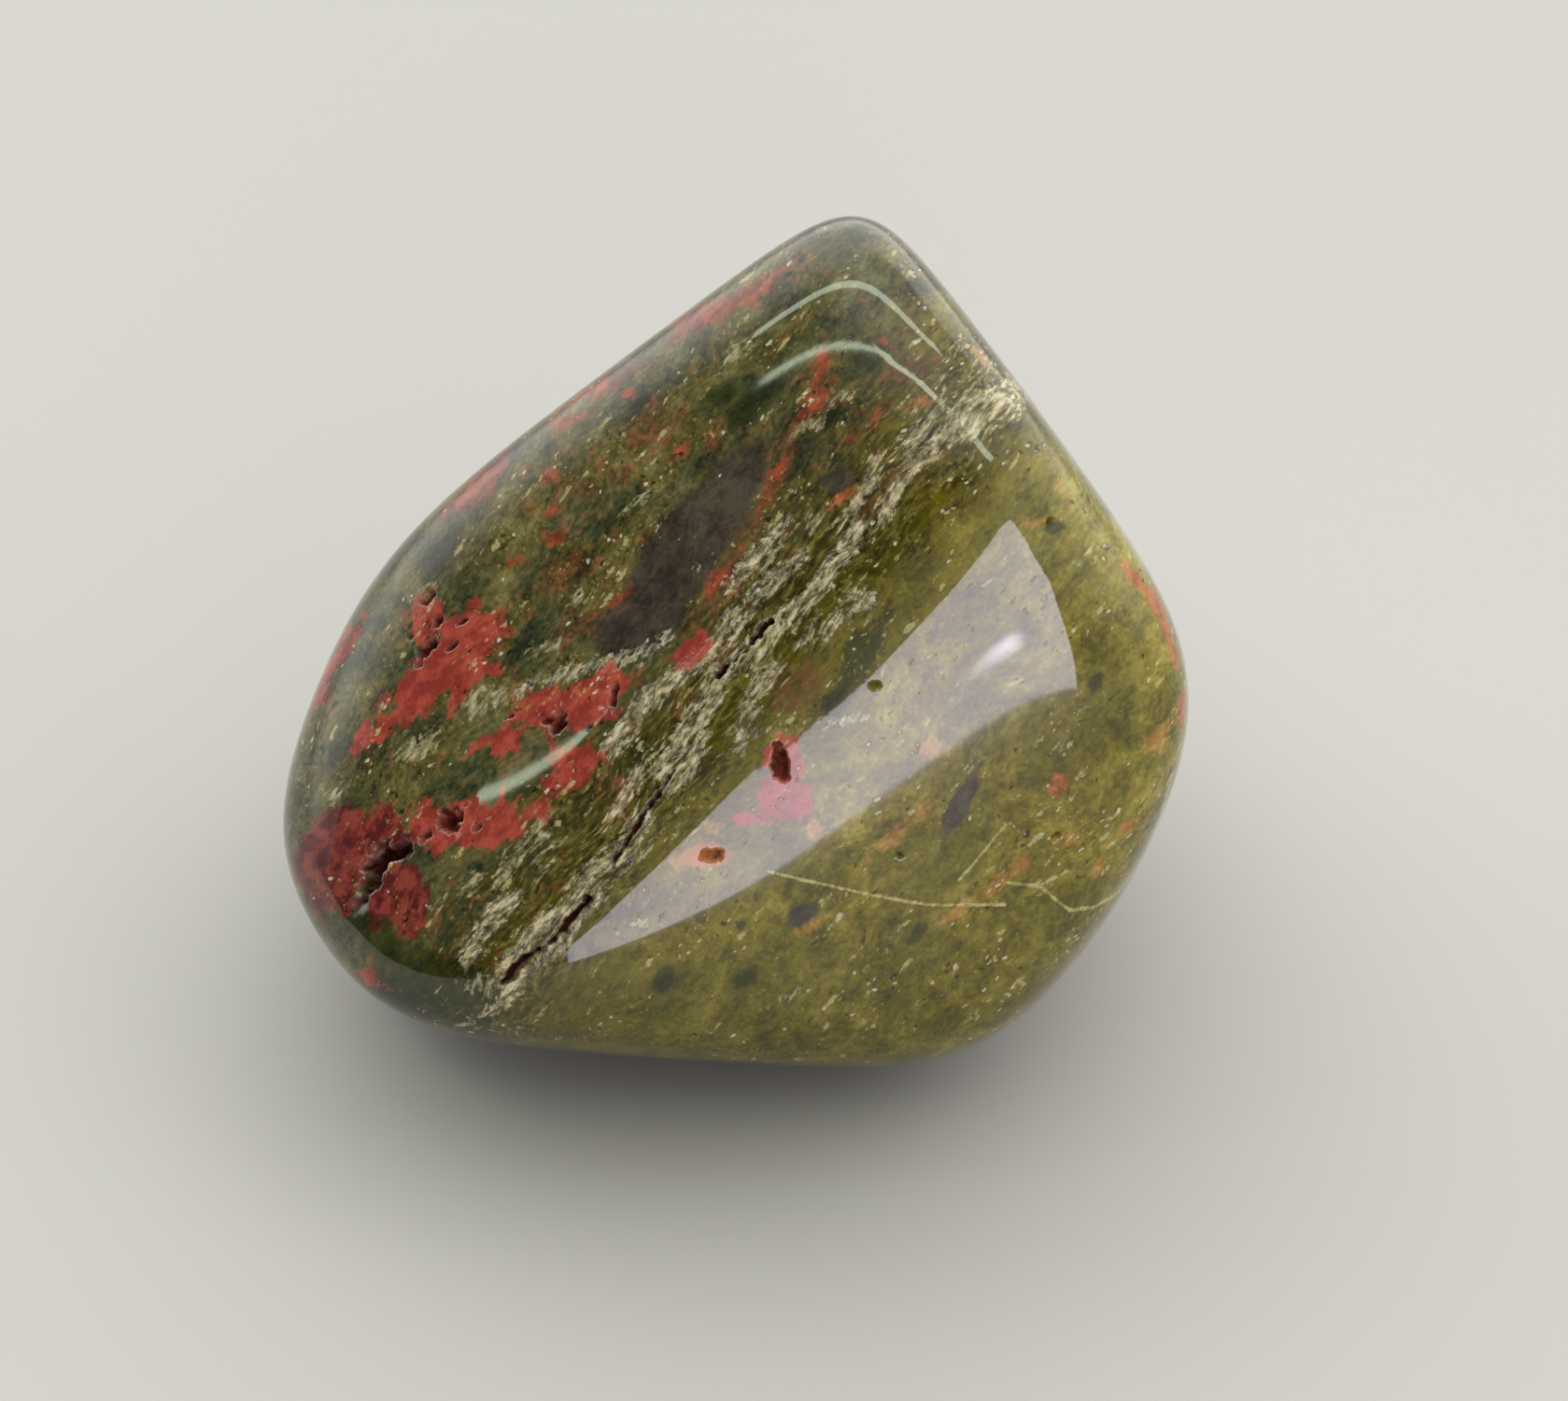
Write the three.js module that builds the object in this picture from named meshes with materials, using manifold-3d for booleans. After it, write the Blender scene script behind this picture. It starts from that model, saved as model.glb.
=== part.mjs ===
// A tumbled stone: one natural piece of mottled green and brick-red jasper, worn smooth in a
// tumbling barrel and polished. It has a few broad worn faces with soft edges between them, a blunt
// peak at the back, a small flat spot underneath that it rests on, and open pits and crevices where
// softer grains have fallen out.
//
// Millimetres and degrees. +Z is up, +X is right and -Y is the front. The origin is the middle of
// the flat resting spot. Azimuth is counted from +X towards +Y, elevation from level towards +Z.
import * as THREE from 'three';
import { mergeVertices } from 'three/addons/utils/BufferGeometryUtils.js';
import Module from 'manifold-3d';

// The core is the point that every worn face is measured from. Its height above the resting spot
// is a little less than the stone would have under it, so that the lowest point is rubbed off flat.
const CORE_HEIGHT = 10.65;

// The worn faces: which way each one faces, and its distance from the core.
const WORN_FACES = [
  { name: 'broad left face', azimuth: -130, elevation: 45, distance: 9.9 },
  { name: 'front face', azimuth: -84, elevation: 18, distance: 11.6 },
  { name: 'right edge, upper', azimuth: 23, elevation: 29, distance: 12.7 },
  { name: 'right edge, middle', azimuth: 0, elevation: -8, distance: 14.4 },
  { name: 'right edge, lower', azimuth: -32, elevation: -26, distance: 15.0 },
  { name: 'front, under the belly', azimuth: -95, elevation: -45, distance: 13.5 },
  { name: 'left end, lower', azimuth: -160, elevation: -30, distance: 16.4 },
  { name: 'left end, upper', azimuth: 163, elevation: 15, distance: 12.9 },
  { name: 'back left slope', azimuth: 130, elevation: 33, distance: 9.8 },
  { name: 'back right slope', azimuth: 64, elevation: 26, distance: 13.7 },
  { name: 'back face', azimuth: 88, elevation: -15, distance: 13.0 },
  { name: 'underside, towards the back', azimuth: 75, elevation: -55, distance: 12.0 },
  { name: 'underside, right', azimuth: 0, elevation: -58, distance: 13.2 },
  { name: 'underside, left', azimuth: 145, elevation: -58, distance: 13.2 },
  { name: 'underside, towards the front', azimuth: -110, elevation: -75, distance: 12.6 },
  { name: 'underside, middle', azimuth: 0, elevation: -90, distance: 11.1 },
];

// How crisply the worn faces meet: 2 would be a ball, and a high value has sharp edges.
const EDGE_CRISPNESS = 10;

// Each side of an icosahedron is cut into this many steps to make the stone's facets.
const STONE_STEPS = 18;
const PIT_STEPS = 3;

// The pits and crevices lie on the front, and are placed as they are seen from there, looking down
// at this angle: millimetres to the right of the core and above it. The turn of a pit is
// anticlockwise from level in that view. Deeper pits are made of overlapping hollows.
const VIEW_ELEVATION = 38;
const PITS = [
  { name: 'left end pit, long hollow', at: [-12.0, -6.5], length: 1.9, width: 0.75, depth: 0.55, turn: 58 },
  { name: 'left end pit, upper hollow', at: [-11.2, -6.0], length: 1.2, width: 0.7, depth: 0.5, turn: -12 },
  { name: 'ringed pit', at: [-9.5, -4.8], length: 1.0, width: 0.8, depth: 0.35, turn: 30 },
  { name: 'pit beside the ringed one', at: [-10.3, -5.4], length: 0.5, width: 0.4, depth: 0.25, turn: 20 },
  { name: 'slot beside the ringed one', at: [-8.6, -5.1], length: 0.45, width: 0.25, depth: 0.2, turn: 30 },
  { name: 'upper red patch, main pit', at: [-10.3, 0.7], length: 0.9, width: 0.5, depth: 0.4, turn: 32 },
  { name: 'upper red patch, next pit', at: [-10.0, 1.5], length: 0.5, width: 0.35, depth: 0.3, turn: 50 },
  { name: 'upper red patch, rough pit', at: [-10.3, 2.3], length: 0.6, width: 0.5, depth: 0.25, turn: 70 },
  { name: 'upper red patch, right pit', at: [-9.2, 1.5], length: 0.5, width: 0.3, depth: 0.2, turn: 25 },
  { name: 'upper red patch, slot', at: [-9.5, 0.7], length: 0.6, width: 0.25, depth: 0.2, turn: 28 },
  { name: 'middle red patch, round pit', at: [-6.0, -1.8], length: 0.65, width: 0.6, depth: 0.4, turn: 0 },
  { name: 'middle red patch, hollow', at: [-6.4, -1.7], length: 0.45, width: 0.3, depth: 0.25, turn: 10 },
  { name: 'middle red patch, tall pit', at: [-4.2, -0.8], length: 0.9, width: 0.35, depth: 0.3, turn: 85 },
  { name: 'front pit', at: [1.1, -3.0], length: 1.25, width: 0.7, depth: 0.45, turn: 100 },
  { name: 'shallow front pit', at: [-1.1, -6.0], length: 0.85, width: 0.45, depth: 0.15, turn: 5 },
  { name: 'right pit', at: [9.6, 4.6], length: 0.4, width: 0.3, depth: 0.25, turn: 60 },
  { name: 'crevice, upper', at: [-0.3, 0.6], length: 3.2, width: 0.3, depth: 0.25, turn: 43 },
  { name: 'crevice, middle', at: [-3.0, -4.1], length: 2.8, width: 0.35, depth: 0.3, turn: 54 },
  { name: 'crevice, lower', at: [-4.7, -6.6], length: 3.2, width: 0.3, depth: 0.25, turn: 57 },
  { name: 'crevice, lowest', at: [-7.4, -8.6], length: 2.6, width: 0.35, depth: 0.25, turn: 45 },
];

// The surface's look: a polished stone, green on the whole.
const STONE_COLOUR = '#5d6131';
const STONE_ROUGHNESS = 0.08;

const REACH = 40; // mm: any point this far from the core is outside the stone
const CLOSE_ENOUGH = 0.0001; // mm: how exactly a place on the surface is found

const wasm = await Module();
wasm.setup();

// A direction from its azimuth and elevation.
function direction(azimuth, elevation) {
  const turn = THREE.MathUtils.degToRad(azimuth);
  const rise = THREE.MathUtils.degToRad(elevation);
  const level = Math.cos(rise);
  return new THREE.Vector3(level * Math.cos(turn), level * Math.sin(turn), Math.sin(rise));
}

const core = new THREE.Vector3(0, 0, CORE_HEIGHT);
const faces = WORN_FACES.map((face) => ({
  normal: direction(face.azimuth, face.elevation),
  distance: face.distance,
}));

// The stone's form: 1 on its surface, less inside and more outside, at an offset from the core.
// Each face adds its share, and the power blends them so that their edges are rounded.
function form(offset) {
  let sum = 0;
  for (const face of faces) {
    const nearness = Math.max(0, face.normal.dot(offset) / face.distance);
    sum += nearness ** EDGE_CRISPNESS;
  }
  return sum ** (1 / EDGE_CRISPNESS);
}

// The surface's outward direction at an offset from the core.
function outward(offset) {
  const normal = new THREE.Vector3();
  for (const face of faces) {
    const nearness = Math.max(0, face.normal.dot(offset) / face.distance);
    normal.addScaledVector(face.normal, nearness ** (EDGE_CRISPNESS - 1) / face.distance);
  }
  return normal.normalize();
}

// A closed solid from a three.js geometry.
function solid(geometry) {
  geometry.deleteAttribute('normal');
  geometry.deleteAttribute('uv');
  const merged = mergeVertices(geometry);
  return new wasm.Manifold(
    new wasm.Mesh({
      numProp: 3,
      vertProperties: merged.attributes.position.array,
      triVerts: merged.index.array,
    }),
  );
}

// The whole stone before it is pitted: each point of a fine ball is moved out to the form.
function wornBody() {
  const ball = new THREE.IcosahedronGeometry(1, STONE_STEPS - 1);
  const points = ball.attributes.position;
  const point = new THREE.Vector3();
  for (let index = 0; index < points.count; index++) {
    point.fromBufferAttribute(points, index);
    point.divideScalar(form(point)).add(core);
    points.setXYZ(index, point.x, point.y, point.z);
  }
  return solid(ball);
}

// What lies below the resting surface, so that the underside is cut off flat.
function belowRest() {
  const slab = new THREE.BoxGeometry(REACH * 2, REACH * 2, REACH);
  slab.translate(0, 0, -REACH / 2);
  return solid(slab);
}

// The view that the pits are placed in.
const viewRight = new THREE.Vector3(1, 0, 0);
const viewTowards = direction(-90, VIEW_ELEVATION);
const viewUp = new THREE.Vector3().crossVectors(viewTowards, viewRight);

// The offset from the core of the point on the surface that is seen at a place in the view.
function seenAt([right, up]) {
  const offset = new THREE.Vector3();
  let inside = 0;
  let outside = REACH;
  while (outside - inside > CLOSE_ENOUGH) {
    const middle = (inside + outside) / 2;
    offset.copy(viewTowards).multiplyScalar(middle);
    offset.addScaledVector(viewRight, right).addScaledVector(viewUp, up);
    if (form(offset) > 1) outside = middle;
    else inside = middle;
  }
  return offset;
}

// A hollow centred on the surface: half of it is in the stone.
function hollow({ at, length, width, depth, turn }) {
  const place = seenAt(at);
  const normal = outward(place);
  const angle = THREE.MathUtils.degToRad(turn);
  const along = new THREE.Vector3().addScaledVector(viewRight, Math.cos(angle));
  along.addScaledVector(viewUp, Math.sin(angle)).projectOnPlane(normal).normalize();
  const across = new THREE.Vector3().crossVectors(normal, along);
  const ball = new THREE.IcosahedronGeometry(1, PIT_STEPS - 1);
  ball.scale(length / 2, width / 2, depth);
  ball.applyMatrix4(new THREE.Matrix4().makeBasis(along, across, normal).setPosition(place.add(core)));
  return solid(ball);
}

// A three.js geometry from a closed solid.
function geometryOf(body) {
  const mesh = body.getMesh();
  const geometry = new THREE.BufferGeometry();
  geometry.setAttribute('position', new THREE.BufferAttribute(mesh.vertProperties, 3));
  geometry.setIndex(new THREE.BufferAttribute(mesh.triVerts, 1));
  geometry.computeVertexNormals();
  return geometry;
}

const hollows = PITS.map(hollow).reduce((joined, next) => joined.add(next));
const stone = new THREE.Mesh(
  geometryOf(wornBody().subtract(belowRest()).subtract(hollows)),
  new THREE.MeshStandardMaterial({ color: STONE_COLOUR, roughness: STONE_ROUGHNESS, metalness: 0 }),
);
stone.name = 'stone';

const group = new THREE.Group();
group.add(stone);

export default group;
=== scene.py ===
import bmesh
import bpy
import numpy as np
from mathutils import Matrix, Vector, noise


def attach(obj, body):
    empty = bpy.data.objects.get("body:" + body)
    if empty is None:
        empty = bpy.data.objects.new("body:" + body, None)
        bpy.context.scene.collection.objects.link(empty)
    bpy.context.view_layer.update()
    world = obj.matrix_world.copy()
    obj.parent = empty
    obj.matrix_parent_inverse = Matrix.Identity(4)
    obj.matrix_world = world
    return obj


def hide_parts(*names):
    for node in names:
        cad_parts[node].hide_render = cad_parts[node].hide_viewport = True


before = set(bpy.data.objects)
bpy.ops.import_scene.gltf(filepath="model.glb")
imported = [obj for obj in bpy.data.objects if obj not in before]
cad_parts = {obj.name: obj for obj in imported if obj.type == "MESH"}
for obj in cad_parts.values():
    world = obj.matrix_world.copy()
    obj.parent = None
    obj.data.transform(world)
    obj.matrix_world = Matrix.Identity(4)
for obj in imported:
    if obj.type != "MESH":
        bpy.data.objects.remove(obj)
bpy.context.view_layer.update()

# The stone: one lump of mottled green and brick-red jasper, worn in a tumbling barrel until a few
# broad faces were left, with soft edges between them, and then polished. Each worn face is the way it
# looks, as an azimuth and an elevation, and its distance from the core in mm.
MM = 0.001
CORE_HEIGHT = 10.65  # mm above the flat spot that the stone rests on
WORN_FACES = [
    (-130, 45, 9.9),  # broad left face
    (-84, 18, 11.6),  # front face
    (23, 29, 12.7),  # right edge, upper
    (0, -8, 14.4),  # right edge, middle
    (-32, -26, 15.0),  # right edge, lower
    (-95, -45, 13.5),  # front, under the belly
    (-160, -30, 16.4),  # left end, lower
    (163, 15, 12.9),  # left end, upper
    (130, 33, 9.8),  # back left slope
    (64, 26, 13.7),  # back right slope
    (88, -15, 13.0),  # back face
    (75, -55, 12.0),  # underside, towards the back
    (0, -58, 13.2),  # underside, right
    (145, -58, 13.2),  # underside, left
    (-110, -75, 12.6),  # underside, towards the front
    (0, -90, 11.1),  # underside, middle
]
EDGE_CRISPNESS = 10  # how sharply the worn faces meet: 2 would be a ball
TAKEN_OFF = 0.0013  # the polish takes off this share, which keeps the stone inside the CAD model's box
ON_REST = 0.001  # mm: a point this close to the flat spot lies on it
OUTSIDE = 40.0  # mm: any point this far from the core is outside the stone
HALVINGS = 24  # how often the way to the surface is halved, which finds it to a millionth of a mm


def direction(azimuth, elevation):
    """The way from the core at an azimuth, counted from +X towards +Y, and an elevation."""
    turn = np.radians(azimuth)
    rise = np.radians(elevation)
    return np.array((np.cos(rise) * np.cos(turn), np.cos(rise) * np.sin(turn), np.sin(rise)))


face_ways = np.array([direction(azimuth, elevation) for azimuth, elevation, _ in WORN_FACES])
face_distances = np.array([distance for _, _, distance in WORN_FACES])


def nearness(offsets):
    """How far an offset from the core reaches towards each worn face: 1 is on the face."""
    return np.maximum(0, offsets @ face_ways.T / face_distances)


def to_surface(offsets):
    """The same directions from the core, moved in or out to the worn surface, with the rest flat."""
    reach = (nearness(offsets) ** EDGE_CRISPNESS).sum(1) ** (1 / EDGE_CRISPNESS)
    placed = offsets * (1 - TAKEN_OFF) / reach[:, None]
    below = placed[:, 2] < -CORE_HEIGHT
    placed[below] *= (-CORE_HEIGHT / placed[below, 2])[:, None]
    return placed


def outward(offsets):
    """The way that the worn surface faces."""
    ways = (nearness(offsets) ** (EDGE_CRISPNESS - 1) / face_distances) @ face_ways
    ways[offsets[:, 2] < ON_REST - CORE_HEIGHT] = (0, 0, -1)
    return ways / np.linalg.norm(ways, axis=1)[:, None]


# Pits and marks are placed as they are seen from the front, looking down at the view's angle:
# millimetres to the right of the core and above it.
VIEW_ELEVATION = 38
view_towards = direction(-90, VIEW_ELEVATION)
view_right = np.array((1.0, 0.0, 0.0))
view_up = np.cross(view_towards, view_right)
view_axes = np.array((view_right, view_up, view_towards))


def seen_at(places):
    """The offsets from the core of the surface points that are seen at these places."""
    flat = np.array(places, float) @ view_axes[:2]
    inside = np.zeros(len(flat))
    outside = np.full(len(flat), OUTSIDE)
    for _ in range(HALVINGS):
        middle = (inside + outside) / 2
        trial = flat + middle[:, None] * view_towards
        too_far = (nearness(trial) ** EDGE_CRISPNESS).sum(1) > 1
        outside = np.where(too_far, middle, outside)
        inside = np.where(too_far, inside, middle)
    return flat + inside[:, None] * view_towards


# Pits, where softer grains fell out before the last polish: right, up, length, width and depth in mm,
# and the turn in degrees, anticlockwise from level.
PITS = [
    (-12.0, -6.5, 2.0, 0.8, 0.9, 58),  # left end, the long hollow
    (-11.3, -5.9, 1.4, 0.7, 0.8, 15),  # left end, its upper hollow
    (-9.5, -4.8, 1.0, 0.8, 0.6, 30),  # ringed pit
    (-10.3, -5.4, 0.5, 0.35, 0.3, 20),  # beside the ringed one
    (-8.6, -5.1, 0.45, 0.22, 0.25, 30),  # slot beside the ringed one
    (-10.3, 0.7, 0.9, 0.5, 0.6, 32),  # upper red patch, main pit
    (-10.0, 1.5, 0.5, 0.3, 0.35, 50),
    (-10.3, 2.3, 0.6, 0.4, 0.3, 70),
    (-9.2, 1.5, 0.45, 0.25, 0.3, 25),
    (-9.5, 0.7, 0.6, 0.2, 0.25, 28),
    (-10.9, 1.0, 0.25, 0.2, 0.15, 0),
    (-10.6, 0.1, 0.25, 0.2, 0.15, 0),
    (-6.0, -1.8, 0.65, 0.6, 0.55, 0),  # middle red patch, round pit
    (-6.4, -1.7, 0.45, 0.3, 0.3, 10),
    (-4.2, -0.8, 0.9, 0.3, 0.4, 85),  # middle red patch, tall pit
    (-7.5, -1.5, 0.5, 0.2, 0.2, 20),
    (-5.0, -1.9, 0.25, 0.2, 0.15, 0),
    (1.1, -3.0, 1.3, 0.55, 0.5, 97),  # front pit
    (-1.1, -6.0, 0.8, 0.4, 0.15, 5),  # shallow front pit
    (9.6, 4.6, 0.35, 0.25, 0.25, 60),  # right pit
    (4.1, -0.6, 0.4, 0.3, 0.15, 0),  # ringed pit in the olive side
    (4.9, -6.0, 0.25, 0.2, 0.15, 0),
    (9.9, -5.4, 0.4, 0.2, 0.15, 40),
]

# Crevices: open seams along the streaky band, as the places they pass through, a width and a depth.
CREVICES = [
    ([(0.8, 1.5), (0.2, 0.9), (0.0, 0.5), (-0.5, 0.2), (-0.9, -0.3)], 0.18, 0.35),
    ([(-2.3, -3.3), (-2.8, -4.1), (-3.2, -4.6), (-3.6, -5.3), (-4.2, -6.2)], 0.14, 0.25),
    ([(-5.0, -7.4), (-5.7, -8.1), (-6.1, -8.7), (-7.1, -9.3), (-7.8, -10.1)], 0.16, 0.3),
]

# Patches of other minerals that grew in the stone: right, up, length and width in mm, and the turn in
# degrees. First come the brick-red ones, and the small soft ones of the same red.
RED_PATCHES = [
    (-9.2, 0.5, 3.3, 2.4, 60),  # upper red patch
    (-10.4, -0.6, 2.8, 1.4, 40),
    (-11.7, -1.9, 3.0, 0.7, 35),
    (-10.3, 1.6, 1.8, 1.1, 80),
    (-5.6, -1.2, 3.8, 1.5, 12),  # middle red patch
    (-4.4, -0.6, 1.5, 0.9, 75),
    (-7.8, -2.3, 2.2, 0.8, 20),
    (-5.6, -3.2, 2.3, 1.2, 40),
    (-9.0, -5.0, 4.6, 1.5, 8),  # lower red patch, at the left end
    (-11.9, -5.2, 1.6, 1.0, 5),
    (-12.3, -9.9, 1.2, 0.6, -40),
    (-13.5, 0.1, 3.2, 0.6, 60),  # left flank
    (-1.8, 0.5, 1.45, 0.62, 38),  # red lens above the band
    (1.1, -3.0, 2.0, 1.25, 95),  # round the front pit, and the block below it
    (1.15, -3.7, 1.6, 1.2, 95),
    (1.25, -4.5, 1.25, 0.8, 5),
    (1.2, -4.05, 1.5, 1.3, 95),
    (0.4, -4.85, 1.6, 0.3, -8),
]
FAINT_RED_PATCHES = [
    (-0.8, 2.9, 0.7, 0.4, 50),  # specks along the smoky patch
    (-4.1, 2.2, 0.8, 0.3, 35),
    (2.3, 9.4, 1.3, 0.35, 70),
    (2.2, 8.4, 1.0, 0.35, 50),
    (3.4, 7.3, 0.6, 0.25, 50),
    (4.1, 6.6, 0.5, 0.2, 60),
    (4.4, 10.3, 0.5, 0.2, -40),
    (1.1, 6.2, 0.9, 0.45, 60),
    (0.7, 5.5, 0.7, 0.35, 70),
    (-1.1, 2.5, 0.5, 0.3, 30),
    (-0.5, 11.7, 3.8, 0.7, 27),  # top edge
    (-4.6, 9.1, 1.9, 0.55, 25),
    (-5.6, 8.0, 1.3, 0.5, 20),
    (-8.8, 5.9, 2.4, 1.0, 40),
    (-6.3, 6.2, 0.5, 0.4, 0),
    (-3.7, 8.8, 0.5, 0.4, 0),
    (-6.1, 4.1, 0.8, 0.35, 20),
    (4.2, 8.0, 0.9, 0.35, 50),
    (-6.2, 5.1, 0.6, 0.3, 30),
    (-2.2, 6.9, 0.6, 0.3, 40),
    (-7.5, 3.4, 0.7, 0.3, 30),
]

# The red block at the left end, round the long hollow, painted a deeper, darker red: painted shade of that
# end.
SHADED_RED_PATCHES = [
    (-12.6, -5.5, 3.4, 2.0, 5),
    (-13.6, -6.7, 2.9, 2.2, -60),
    (-11.1, -7.4, 2.3, 2.0, -70),
]

# Iron-stained orange spots and streaks, and warmer coral ones.
ORANGE_PATCHES = [
    (1.0, -2.2, 0.6, 0.5, 20),
    (-1.5, -6.0, 1.5, 0.7, 5),
    (-1.1, -5.1, 0.5, 0.4, 0),
    (2.2, -5.2, 0.6, 0.5, 20),
    (4.9, -5.2, 2.2, 0.4, 41),  # streak in the olive side
    (5.9, -2.6, 0.9, 0.5, 15),
    (13.1, -2.3, 1.2, 0.6, 50),
    (8.8, -6.3, 0.8, 0.55, 50),
    (7.9, -7.0, 1.0, 0.45, 35),
    (6.7, -7.8, 1.2, 0.3, 38),
    (11.3, -6.4, 0.7, 0.3, 60),
    (1.8, -8.4, 1.2, 0.25, 30),
    (10.3, -5.5, 0.6, 0.3, 20),
    (10.0, 5.6, 0.7, 0.22, -60),
    (9.1, 4.5, 0.7, 0.25, 10),
    (7.5, 9.7, 0.8, 0.2, -50),
]
CORAL_PATCHES = [
    (5.5, 8.4, 1.1, 0.35, 30),
    (3.1, 5.4, 1.0, 0.3, 30),
    (1.1, -2.4, 0.6, 0.45, 20),
    (-1.1, -6.0, 1.2, 0.7, 5),  # in the shallow front pit
    (13.9, -1.3, 1.2, 0.45, 80),
    (12.2, -5.1, 1.0, 0.28, 40),
    (9.9, -3.8, 0.7, 0.5, 60),
    (12.3, 2.9, 1.5, 0.3, -45),  # right edge
    (13.0, 2.1, 1.5, 0.45, -58),
    (13.5, 0.9, 1.8, 0.35, -75),
]

# Rusty clouds, and the rusty fringe between the smoky patch and the band.
RUST_PATCHES = [
    (-2.8, 8.4, 1.1, 0.8, 30),
    (-3.1, 7.6, 1.9, 1.2, 30),
    (-0.9, 7.3, 1.3, 0.8, 50),
    (-4.7, 6.5, 1.0, 0.6, 20),
    (-5.4, 5.8, 1.0, 0.6, 20),
    (-5.0, 3.3, 1.2, 0.6, 30),
    (-6.2, 3.0, 1.4, 0.9, 30),
    (-5.0, 1.6, 2.6, 0.9, 30),
    (5.0, 9.4, 1.5, 0.8, 30),
    (4.6, 5.6, 1.8, 0.6, 50),
    (5.9, 6.7, 1.6, 0.5, 45),
    (-3.9, -4.2, 1.4, 0.8, 60),
    (1.6, -0.7, 1.6, 1.2, 60),
]
RUST_SEAMS = [
    ([(2.4, 9.6), (2.3, 8.6), (1.7, 7.6), (1.0, 6.9), (0.6, 5.9)], 1.0),
    ([(0.6, 5.9), (0.2, 4.9), (-0.3, 3.6), (-0.8, 2.8)], 1.0),
    ([(-0.8, 2.8), (-1.2, 1.8), (-1.6, 1.2)], 0.7),
]

# Blackish green spots, some of them painted shade, and the smoky brown patches.
DARK_AND_SHADED_PATCHES = [
    (0.3, 8.5, 2.0, 0.9, 45),  # beyond the end of the smoky patch
    # Low on the left: blackish green stone, darkened further as painted shade of the low left end.
    (-9.8, -10.0, 3.6, 1.8, -20),  # low on the left
    (-10.6, -11.2, 5.0, 2.4, -18),
    (-11.6, -9.0, 2.0, 1.0, -35),
    (-7.3, -4.0, 1.2, 0.5, 20),
    (-5.6, -4.9, 1.1, 0.5, 20),
    # Also painted shade of the low left end.
    (-12.1, -8.1, 2.4, 1.2, -30),
    (-11.5, -0.9, 1.4, 0.6, 45),
    (-3.4, -2.6, 1.3, 0.5, 60),
    (3.7, 9.7, 1.0, 0.6, 0),
    (2.8, 8.0, 1.0, 0.5, 50),
    (-0.8, 8.8, 1.2, 0.6, 20),
    (9.8, 4.4, 0.9, 0.4, 0),
    (5.5, -8.5, 0.8, 0.4, 65),
    (11.1, -0.6, 0.8, 0.4, 75),
    (-2.5, -10.0, 1.0, 0.7, 70),
    (-0.1, -8.2, 0.5, 0.35, 0),
    (-0.1, -10.0, 1.0, 0.45, 30),
    (3.5, 0.2, 3.4, 1.05, 57),  # dark green lens to the right of the band
]
SMOKY_PATCHES = [
    (-1.8, 3.9, 7.6, 2.3, 54),
    (-3.4, 1.4, 3.2, 1.9, 28),
    (6.8, -4.4, 2.1, 0.7, 62),
    (1.8, -7.9, 1.2, 0.75, 30),
    (2.9, 5.9, 1.0, 0.7, 20),
]

# Where the green body itself is paler, and where it is deeper; the deeper patch low on the front is painted
# shade.
PALE_PATCHES = [
    (11.4, 2.6, 7.0, 3.6, -60),  # the right edge
    (8.8, 6.8, 5.0, 1.8, -55),
    (12.4, -4.0, 4.0, 1.8, 75),
]
DEEP_AND_SHADED_PATCHES = [
    # Painted shade: the lower front painted darker.
    (0.5, -11.0, 15.0, 4.0, 8),  # low on the front
    (10.6, -2.0, 4.0, 2.0, 60),
    (3.5, 2.6, 4.5, 1.2, 50),  # along the band
    (10.0, -8.6, 4.5, 2.2, 50),
    (6.2, -5.8, 3.5, 1.8, 45),
]

# Crumbly cream spots and streaks.
CREAM_PATCHES = [
    (7.8, 8.2, 2.4, 1.1, 33),  # top right end of the band
    (0.3, 3.2, 2.0, 0.6, 38),
    (2.2, 4.6, 0.8, 0.35, 60),
    (-8.9, -9.2, 0.9, 0.6, 45),
    (-8.5, -10.1, 0.9, 0.8, 40),
    (-6.6, -5.3, 1.5, 0.7, 80),
    (-10.6, -2.6, 1.5, 0.9, 20),
    (-8.4, -1.0, 1.6, 0.9, 20),
    (-10.4, 2.4, 0.8, 0.5, 20),
    (-13.4, -4.1, 0.9, 0.5, 20),
    (-6.4, 0.7, 1.2, 0.4, 15),
    (-5.4, 2.2, 0.7, 0.3, 35),
    (-3.2, 5.4, 1.3, 0.3, 35),
    (-0.2, 10.2, 1.2, 0.5, 50),
    (2.2, -1.7, 0.5, 0.25, 10),
    (3.3, -1.7, 0.8, 0.25, 10),
    (7.3, -3.0, 0.6, 0.22, 45),
    (4.7, -8.6, 1.0, 0.2, 55),
    (2.9, -8.1, 0.6, 0.2, 20),
    (9.9, -2.6, 0.5, 0.25, 40),
    (1.2, -10.6, 0.8, 0.25, 30),
    (10.8, 3.7, 0.4, 0.22, 60),
    (10.5, 3.3, 0.3, 0.2, 60),
    (11.3, 2.4, 0.4, 0.25, 80),
    (5.2, 12.6, 0.4, 0.35, 0),
    (2.1, 7.7, 1.0, 0.4, 25),
    (3.0, 8.6, 0.8, 0.3, 30),
    (-7.7, -6.6, 1.3, 0.5, 50),
    (-7.0, -5.5, 1.0, 0.5, 60),
    (-8.8, -6.9, 0.9, 0.45, 50),
    (-9.9, -7.6, 0.8, 0.4, 50),
    (-6.5, -6.5, 0.9, 0.4, 55),
]

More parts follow.
